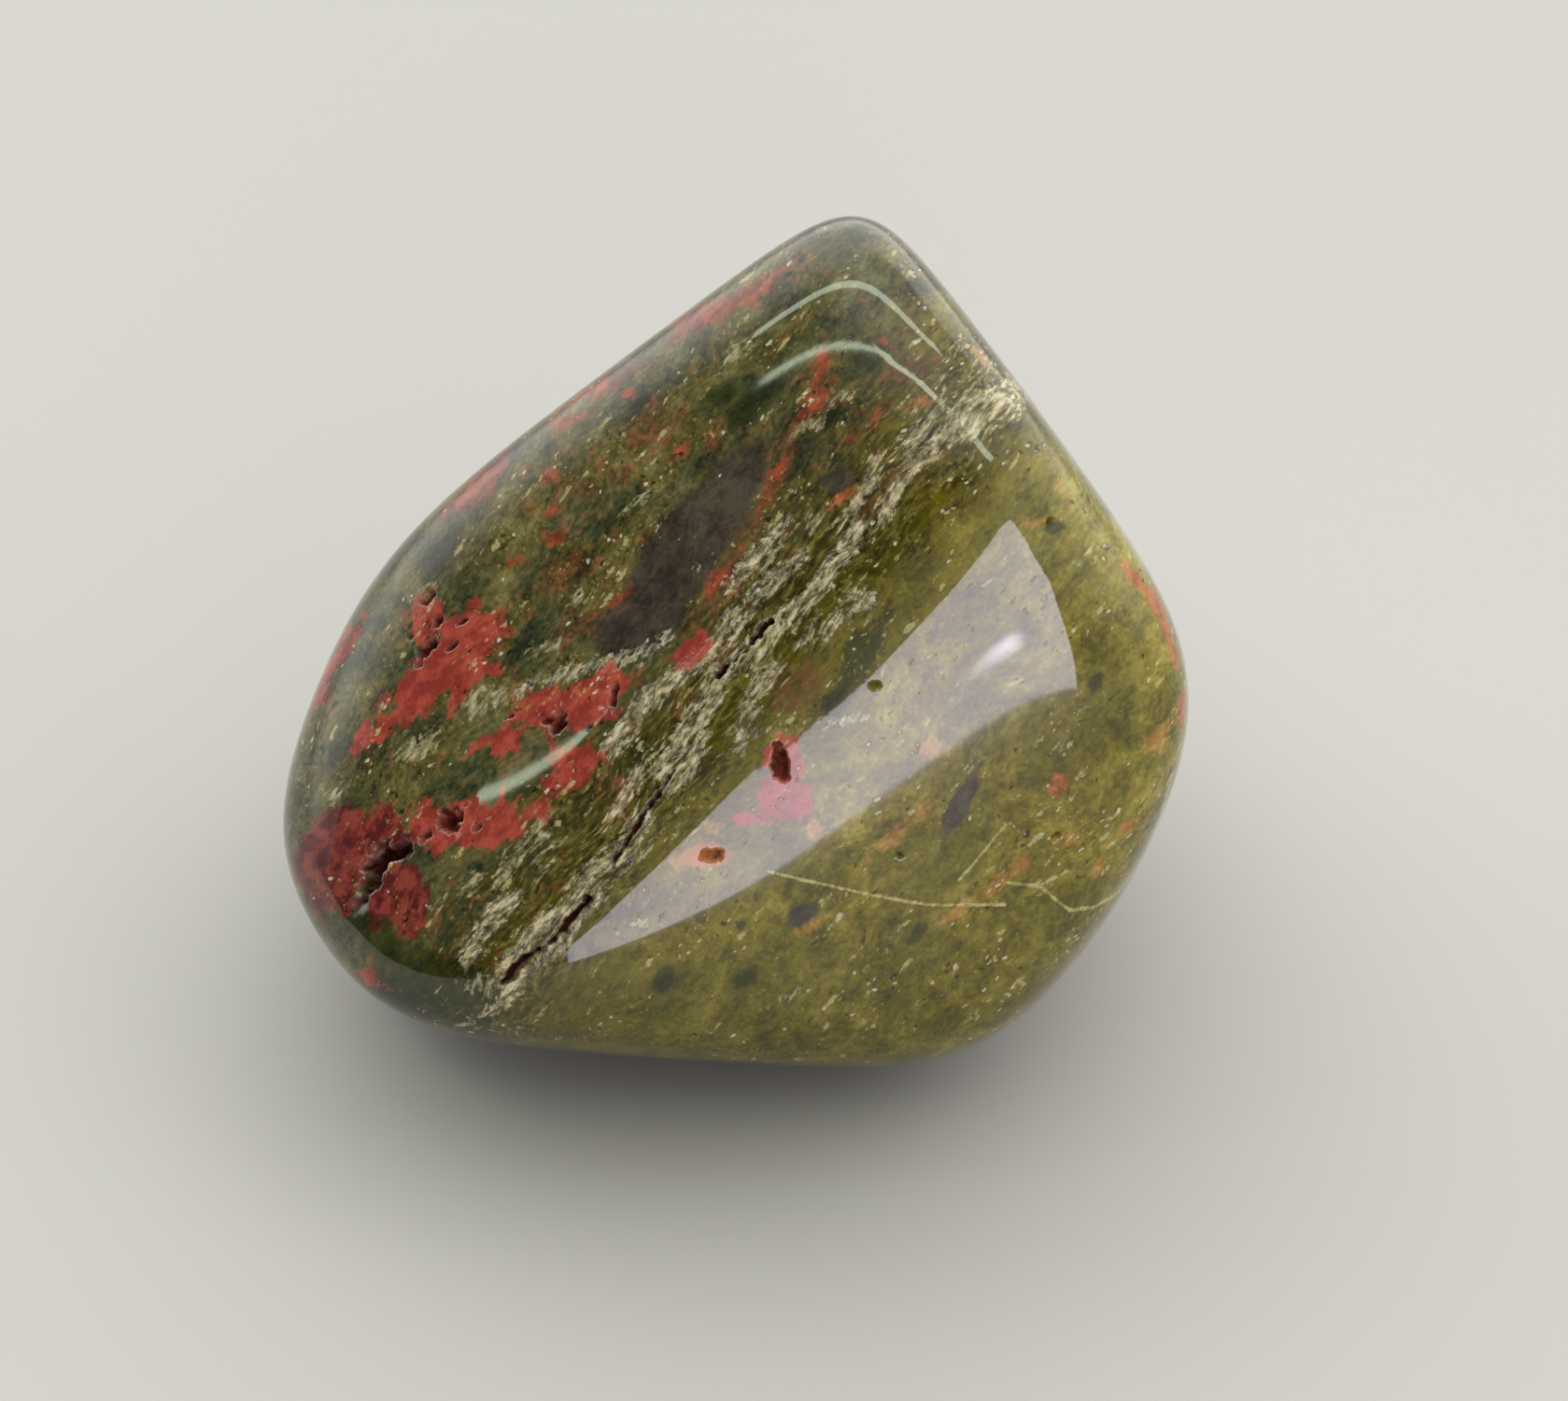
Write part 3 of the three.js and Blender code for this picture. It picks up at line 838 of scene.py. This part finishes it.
for size, share, big, soft, cover, hex_colour in FINE_GRAINS:
    inputs = {0: in_grain, 1: size}
    sized = add(tree, "ShaderNodeVectorMath", inputs, operation="DIVIDE").outputs[0]
    cells = add(tree, "ShaderNodeTexVoronoi", {"Vector": sized, "Scale": 1})
    lot = add(tree, "ShaderNodeSeparateColor", {"Color": cells.outputs["Color"]}).outputs[0]
    inputs = {0: patterns["tints"], 1: CROWDED, 2: lot}
    lot = add(tree, "ShaderNodeMath", inputs, operation="MULTIPLY_ADD").outputs[0]
    inputs = {0: amounts["smoky"], 1: SMOKY_LACKS, 2: lot}
    lot = add(tree, "ShaderNodeMath", inputs, operation="MULTIPLY_ADD").outputs[0]
    inputs = {0: lot, 1: FULL_LOT - share}
    chosen = add(tree, "ShaderNodeMath", inputs, operation="GREATER_THAN").outputs[0]
    covering = add(tree, "ShaderNodeMath", {0: chosen, 1: cover}, operation="MULTIPLY").outputs[0]
    inputs = {"Value": lot, "From Min": FULL_LOT - share, "From Max": FULL_LOT, "To Max": big}
    radius = add(tree, "ShaderNodeMapRange", inputs).outputs[0]
    inputs = {0: patterns["crumbs"], 1: GRAIN_RAGGED, 2: cells.outputs["Distance"]}
    away = add(tree, "ShaderNodeMath", inputs, operation="MULTIPLY_ADD").outputs[0]
    reach = add(tree, "ShaderNodeMath", {0: radius, 1: away}, operation="SUBTRACT").outputs[0]
    inputs = {"Value": reach, "From Min": -GRAIN_RAGGED / 2, "From Max": soft - GRAIN_RAGGED / 2}
    inputs["To Max"] = covering
    amount = add(tree, "ShaderNodeMapRange", inputs).outputs[0]
    inputs = {0: amount, 6: colour, 7: linear(hex_colour)}
    colour = add(tree, "ShaderNodeMix", inputs, data_type="RGBA").outputs[2]

# Inside the pits the stone is rough and dark red-brown, and it is painted darker the deeper it goes:
# painted shade. The cream ropes are a little rough too.
RAW_AND_SHADED_PIT_COLOUR = "#35100b"
# The rim share is the raw stone's own colour; the share that grows on the floor is painted shade.
RIM_DARK = 0.15  # how much of the pit's colour is at its rim, and how much more on its floor
FLOOR_SHADE = 0.85
PIT_ROUGH = 0.8
PIT_ROUGH_AT = 0.3  # the share of the way into a hollow from which it is fully rough
ROPE_ROUGH = 0.12
POLISH_ROUGHNESS = 0.03
shade_in_hollows = add(tree, "ShaderNodeAttribute", {}, attribute_name="painted_shade_in_hollows").outputs["Fac"]
hollow = add(tree, "ShaderNodeAttribute", {}, attribute_name="hollow").outputs["Fac"]
inputs = {"Value": shade_in_hollows, "To Min": 0.0, "To Max": FLOOR_SHADE}
dark = add(tree, "ShaderNodeMapRange", inputs).outputs[0]
inputs = {0: hollow, 1: RIM_DARK, 2: dark}
dark = add(tree, "ShaderNodeMath", inputs, operation="MULTIPLY_ADD").outputs[0]
inputs = {0: dark, 6: colour, 7: linear(RAW_AND_SHADED_PIT_COLOUR)}
colour = add(tree, "ShaderNodeMix", inputs, data_type="RGBA").outputs[2]
inputs = {"Value": hollow, "From Max": PIT_ROUGH_AT, "To Max": PIT_ROUGH}
rough_in_pits = add(tree, "ShaderNodeMapRange", inputs).outputs[0]
inputs = {0: amounts["rope"], 1: ROPE_ROUGH, 2: rough_in_pits}
crumbly = add(tree, "ShaderNodeMath", inputs, operation="MULTIPLY_ADD").outputs[0]
inputs = {0: crumbly, 1: POLISH_ROUGHNESS}
roughness = add(tree, "ShaderNodeMath", inputs, operation="ADD").outputs[0]

# The crumbly ropes and the pits took less polish, and the single pale grains stand a little below it.
# The heights are shares of RELIEF.
RELIEF = 0.06  # mm
POLISH_HEIGHT = 0.002
GRAIN_HEIGHT = -0.3
ROPE_HEIGHT = 0.4
QUARTZ_IOR = 1.54
pale_grains_and_glints = amount
inputs = {0: crumbly, 1: POLISH_HEIGHT}
unpolished = add(tree, "ShaderNodeMath", inputs, operation="ADD").outputs[0]
inputs = {0: unpolished, 1: patterns["crumbs"]}
height = add(tree, "ShaderNodeMath", inputs, operation="MULTIPLY").outputs[0]
inputs = {0: pale_grains_and_glints, 1: GRAIN_HEIGHT, 2: height}
height = add(tree, "ShaderNodeMath", inputs, operation="MULTIPLY_ADD").outputs[0]
inputs = {0: amounts["rope"], 1: patterns["threads"]}
rope_threads = add(tree, "ShaderNodeMath", inputs, operation="MULTIPLY").outputs[0]
inputs = {0: rope_threads, 1: ROPE_HEIGHT, 2: height}
height = add(tree, "ShaderNodeMath", inputs, operation="MULTIPLY_ADD").outputs[0]
inputs = {"Height": height, "Strength": 1.0, "Distance": RELIEF * MM}
relief = add(tree, "ShaderNodeBump", inputs).outputs[0]
inputs = {"Base Color": colour, "Roughness": roughness, "IOR": QUARTZ_IOR, "Normal": relief}
surface = add(tree, "ShaderNodeBsdfPrincipled", inputs)
add(tree, "ShaderNodeOutputMaterial", {"Surface": surface.outputs[0]})
stone_mesh.materials.append(jasper)

# Raw jasper in the pits and crevices: the grain as it broke, which the polish never reached, so that
# nothing shines there and the hollows look deep.
RAW_SHINE = 0.1
raw_jasper = jasper.copy()
raw_jasper.name = "jasper, raw where it broke"
raw_surface = raw_jasper.node_tree.nodes[surface.name]
raw_surface.inputs["Specular IOR Level"].default_value = RAW_SHINE
stone_mesh.materials.append(raw_jasper)
face_points = np.array([face.vertices[:] for face in stone_mesh.polygons])
broken = fields["hollow"][face_points].min(1) > 0
stone_mesh.polygons.foreach_set("material_index", broken.astype(np.int32))

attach(stone, "root")
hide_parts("stone")

# The floor: a plain board that the stone rests on, far larger than the view. It is painted pale and
# matt, so it shows the stone's soft shadow and no shine.
FLOOR_HALF = 1.5  # metres
FLOOR_COLOUR = "#a6a4a0"
FLOOR_ROUGHNESS = 0.8
floor_mesh = bpy.data.meshes.new("floor")
floor_corners = [
    (-FLOOR_HALF, -FLOOR_HALF, 0),
    (FLOOR_HALF, -FLOOR_HALF, 0),
    (FLOOR_HALF, FLOOR_HALF, 0),
    (-FLOOR_HALF, FLOOR_HALF, 0),
]
floor_mesh.from_pydata(floor_corners, [], [(0, 1, 2, 3)])
floor = bpy.data.objects.new("floor", floor_mesh)
bpy.context.scene.collection.objects.link(floor)
board = bpy.data.materials.new("pale painted board, matt")
board.use_nodes = True
paint = board.node_tree.nodes["Principled BSDF"]
paint.inputs["Base Color"].default_value = linear(FLOOR_COLOUR)
paint.inputs["Roughness"].default_value = FLOOR_ROUGHNESS
floor_mesh.materials.append(board)

# The window in front: a low soft light, seen in the polish as the long pale veil. Its corners are
# azimuths and elevations as seen from the stone's core, and a lamp shows in it as a brighter spot.
WINDOW_AWAY = 0.4  # metres
WINDOW_CORNERS = [
    (-98, -1.4),
    (-101, 6),
    (-99, 13),
    (-97, 15),
    (-94, 13),
    (-90, 11),
    (-89, 15),
    (-86, 20),
    (-82, 22),
    (-74, 13),
    (-70, 7),
    (-71, -1.4),
]
WINDOW_MIDDLE = direction(-86, 8)  # the way to it, which its plane is square to
DAYLIGHT_COLOUR = "#f6f0ff"
DAYLIGHT_LEFT = (-0.08, 5.2)  # metres to the right, and the brightness there
DAYLIGHT_RIGHT = (0.12, 7.2)
LAMP_AT = (-77.6, 1.2)
LAMP_RADIUS = 0.014  # metres, sideways
LAMP_SQUEEZE = (1, 1, 2)  # it is half as high as it is wide
LAMP_BRIGHTNESS = 12.0


def on_window(azimuth, elevation):
    """The place in the window's plane that the stone's core sees at an azimuth and an elevation."""
    way = direction(azimuth, elevation)
    return Vector((0, 0, CORE_HEIGHT * MM)) + Vector(way / (way @ WINDOW_MIDDLE)) * WINDOW_AWAY


window_mesh = bpy.data.meshes.new("window")
window_corners = [on_window(*corner) for corner in WINDOW_CORNERS]
window_mesh.from_pydata(window_corners, [], [tuple(range(len(window_corners)))])
window = bpy.data.objects.new("window", window_mesh)
window.visible_camera = False
bpy.context.scene.collection.objects.link(window)
daylight = bpy.data.materials.new("daylight through a window")
daylight.use_nodes = True
panes = daylight.node_tree
panes.nodes.clear()
on_panes = add(panes, "ShaderNodeTexCoord", {}).outputs["Object"]
inputs = {"Value": add(panes, "ShaderNodeSeparateXYZ", {"Vector": on_panes}).outputs["X"]}
inputs["From Min"], inputs["To Min"] = DAYLIGHT_LEFT
inputs["From Max"], inputs["To Max"] = DAYLIGHT_RIGHT
shine = add(panes, "ShaderNodeMapRange", inputs).outputs[0]
inputs = {0: on_panes, 1: on_window(*LAMP_AT)}
from_lamp = add(panes, "ShaderNodeVectorMath", inputs, operation="SUBTRACT").outputs[0]
inputs = {0: from_lamp, 1: LAMP_SQUEEZE}
from_lamp = add(panes, "ShaderNodeVectorMath", inputs, operation="MULTIPLY").outputs[0]
away = add(panes, "ShaderNodeVectorMath", {0: from_lamp}, operation="LENGTH").outputs["Value"]
inputs = {"Value": away, "From Min": 0.0, "From Max": LAMP_RADIUS, "To Min": LAMP_BRIGHTNESS, "To Max": 0.0}
lamp = add(panes, "ShaderNodeMapRange", inputs, interpolation_type="SMOOTHSTEP").outputs[0]
shine = add(panes, "ShaderNodeMath", {0: shine, 1: lamp}, operation="ADD").outputs[0]
glow = add(panes, "ShaderNodeEmission", {"Color": linear(DAYLIGHT_COLOUR), "Strength": shine})
add(panes, "ShaderNodeOutputMaterial", {"Surface": glow.outputs[0]})
window_mesh.materials.append(daylight)

# Thin greenish light tubes overhead, seen in the polish as the two thin arcs at the top and the short
# line on the left. The near one is bent, so it is made of straight ones end to end. Each is its two
# ends, to the right and to the back in metres, its width in metres, and its brightness.
TUBE_HEIGHT = 0.6  # metres
TUBE_COLOUR = "#e4f4d6"
TUBES = {
    "near_tube": ((-0.724, -0.098), (-0.545, -0.095), 0.0055, 8.0),
    "near_tube_turn_1": ((-0.545, -0.095), (-0.447, -0.119), 0.013, 8.0),
    "near_tube_turn_2": ((-0.447, -0.119), (-0.347, -0.203), 0.028, 8.0),
    "near_tube_turn_3": ((-0.347, -0.203), (-0.23, -0.352), 0.045, 7.5),
    "near_tube_end": ((-0.23, -0.352), (-0.07, -0.535), 0.06, 6.5),
    "far_tube": ((-0.735, 0.0), (-0.135, 0.005), 0.022, 6.5),
    "short_tube": ((-0.819, -0.19), (-0.75, -0.248), 0.01, 8.0),
}
for name, (start, end, width, brightness) in TUBES.items():
    start = Vector((start[0], start[1], TUBE_HEIGHT))
    end = Vector((end[0], end[1], TUBE_HEIGHT))
    tube_data = bpy.data.lights.new(name, "AREA")
    tube_data.shape = "RECTANGLE"
    tube_data.size = (end - start).length
    tube_data.size_y = width
    tube_data.energy = brightness * np.pi * tube_data.size * width
    tube_data.color = linear(TUBE_COLOUR)[:3]
    tube = bpy.data.objects.new(name, tube_data)
    tube.location = (start + end) / 2
    tube.rotation_euler = (0, 0, np.arctan2((end - start).y, (end - start).x))
    tube.visible_camera = False
    bpy.context.scene.collection.objects.link(tube)

# The room round the stone, which lights it softly and is mirrored in its polish: pale walls behind
# and to the right, a ceiling, and a dark corner at the left front. The walls' brightness is given by
# azimuth, and a height is the sine of its elevation: 0 is level and 1 is straight above.
WALL_COLOUR = "#f8f8f6"
WALL_FOOT = 0.4  # the share of its brightness that a wall has at its foot
WALL_FULL_FROM = 0.2  # the height from which it has all of it
WALL_FADES_FROM = 0.87
WALL_ENDS = 0.97
CEILING_FROM = 0.6
CEILING_FULL_FROM = 0.8
CEILING_BRIGHTNESS = 1.3
BACKDROP_BRIGHTNESS = 0.8  # what the camera itself sees beyond the floor
room = bpy.data.worlds.new("room")
bpy.context.scene.world = room
room.use_nodes = True
sky = room.node_tree
sky.nodes.clear()
way = add(sky, "ShaderNodeTexCoord", {}).outputs["Generated"]
split = add(sky, "ShaderNodeSeparateXYZ", {"Vector": way})
inputs = {0: split.outputs["Y"], 1: split.outputs["X"]}
around = add(sky, "ShaderNodeMath", inputs, operation="ARCTAN2").outputs[0]
inputs = {"Value": around, "From Min": -np.pi, "From Max": np.pi}
turned = add(sky, "ShaderNodeMapRange", inputs).outputs[0]
WALL_BRIGHTNESS = [
    (-180, 0.1),
    (-172, 0.0),
    (-122, 0.0),
    (-110, 0.3),
    (-80, 1.1),
    (-50, 1.3),
    (-15, 2.0),
    (25, 2.6),
    (70, 3.2),
    (130, 2.7),
    (152, 2.4),
    (168, 1.7),
    (177, 0.6),
]
BRIGHTEST = 4.0
wall = add(sky, "ShaderNodeValToRGB", {"Fac": turned})
while len(wall.color_ramp.elements) < len(WALL_BRIGHTNESS):
    wall.color_ramp.elements.new(1)
for element, (azimuth, brightness) in zip(wall.color_ramp.elements, WALL_BRIGHTNESS):
    element.position = azimuth / 360 + 0.5
    element.color = [brightness / BRIGHTEST] * 3 + [1]
upward = split.outputs["Z"]
inputs = {"Value": upward, "From Min": 0.0, "From Max": WALL_FULL_FROM, "To Min": WALL_FOOT, "To Max": 1.0}
from_foot = add(sky, "ShaderNodeMapRange", inputs).outputs[0]
inputs = {0: wall.outputs[0], 1: from_foot}
walls = add(sky, "ShaderNodeMath", inputs, operation="MULTIPLY").outputs[0]
inputs = {"Value": upward, "From Min": WALL_FADES_FROM, "From Max": WALL_ENDS, "To Min": 1.0, "To Max": 0.0}
below_top = add(sky, "ShaderNodeMapRange", inputs, interpolation_type="SMOOTHSTEP").outputs[0]
walls = add(sky, "ShaderNodeMath", {0: walls, 1: below_top}, operation="MULTIPLY").outputs[0]
inputs = {"Value": upward, "From Min": CEILING_FROM, "From Max": CEILING_FULL_FROM}
inputs["To Max"] = CEILING_BRIGHTNESS / BRIGHTEST
ceiling = add(sky, "ShaderNodeMapRange", inputs, interpolation_type="SMOOTHSTEP").outputs[0]
brightness = add(sky, "ShaderNodeMath", {0: walls, 1: ceiling}, operation="MAXIMUM").outputs[0]
inputs = {0: brightness, 1: BRIGHTEST}
brightness = add(sky, "ShaderNodeMath", inputs, operation="MULTIPLY").outputs[0]
in_view = add(sky, "ShaderNodeLightPath", {}).outputs["Is Camera Ray"]
inputs = {0: in_view, 2: brightness, 3: BACKDROP_BRIGHTNESS}
brightness = add(sky, "ShaderNodeMix", inputs).outputs[0]
light = add(sky, "ShaderNodeBackground", {"Color": linear(WALL_COLOUR), "Strength": brightness})
add(sky, "ShaderNodeOutputWorld", {"Surface": light.outputs[0]})
bpy.context.scene.view_settings.view_transform = "Standard"

# The camera looks down at the stone from the front, at the same angle that its pits and marks are
# placed at, from far enough for little perspective.
LOOK_AT = Vector((1.215, -0.654, 9.813)) * MM
CAMERA_AWAY = 300 * MM
VIEW_WIDTH = 51.66 * MM  # how much is seen from side to side at the point that it looks at
SENSOR_WIDTH = 36  # mm
camera_data = bpy.data.cameras.new("camera")
camera_data.sensor_width = SENSOR_WIDTH
camera_data.lens = SENSOR_WIDTH * CAMERA_AWAY / VIEW_WIDTH
camera = bpy.data.objects.new("camera", camera_data)
camera_place = Matrix.Translation(LOOK_AT + Vector(view_towards) * CAMERA_AWAY)
camera.matrix_world = camera_place @ Matrix(view_axes).transposed().to_4x4()
bpy.context.scene.collection.objects.link(camera)
bpy.context.scene.camera = camera
